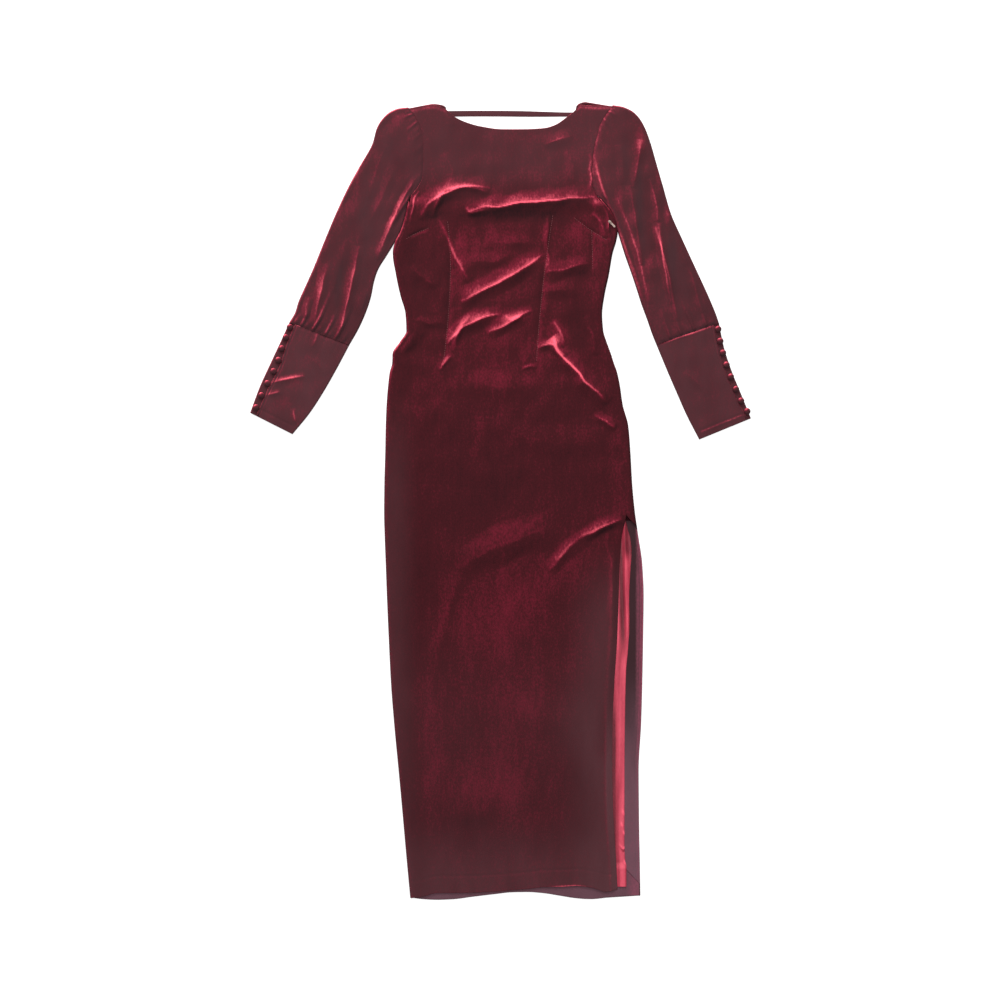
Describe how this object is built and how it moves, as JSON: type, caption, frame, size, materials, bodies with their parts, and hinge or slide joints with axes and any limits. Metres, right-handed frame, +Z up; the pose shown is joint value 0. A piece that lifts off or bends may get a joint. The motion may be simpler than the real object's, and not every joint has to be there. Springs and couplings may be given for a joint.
{
  "type": "maxi evening dress",
  "caption": "Long-sleeved velvet maxi evening dress laid flat, face up: boat neck, back neck strap, buttoned deep cuffs, and a side slit with a satin lining.",
  "frame": {"origin": "on the surface that the dress lies on, under the middle of its bounding box", "axes": "+Z up from the surface, +Y from the hem to the neck, +X towards the wearer's left side, where the slit and the zip are"},
  "size_m": [0.9006, 1.4341, 0.0126],
  "materials": {
    "velvet": "dark burgundy pile velvet, dull in its depths and bright crimson where the nap catches the light",
    "facing": "the same velvet turned in along the hem and the slit, pressed greyer",
    "satin": "bright red lining satin with a soft gloss",
    "pull_metal": "pale enamel over a small metal zip slider and pull tab"
  },
  "bodies": {
    "dress": {"front": "velvet", "back": "velvet", "neck_strap": "velvet", "sleeve_right": "velvet", "sleeve_left": "velvet", "cuff_right": "velvet", "cuff_left": "velvet", "lining": "satin", "slit_facing": "facing", "hem_facing": "facing", "button_right_1": "velvet", "button_right_2": "velvet", "button_right_3": "velvet", "button_right_4": "velvet", "button_right_5": "velvet", "button_right_6": "velvet", "button_right_7": "velvet", "button_right_8": "velvet", "button_left_1": "velvet", "button_left_2": "velvet", "button_left_3": "velvet", "button_left_4": "velvet", "button_left_5": "velvet", "button_left_6": "velvet", "button_left_7": "velvet", "button_left_8": "velvet", "button_loops_right": "velvet", "button_loops_left": "velvet", "zip_slider": "pull_metal"},
    "zip_pull": {"zip_pull": "pull_metal"}
  },
  "joints": [
    {"name": "zip_pull_hinge", "type": "hinge", "parent": "dress", "child": "zip_pull", "pos_m": [0.1965, 0.5005, 0.01045], "axis": [-0.7193, -0.6947, 0], "range_deg": [0, 165]}
  ]
}
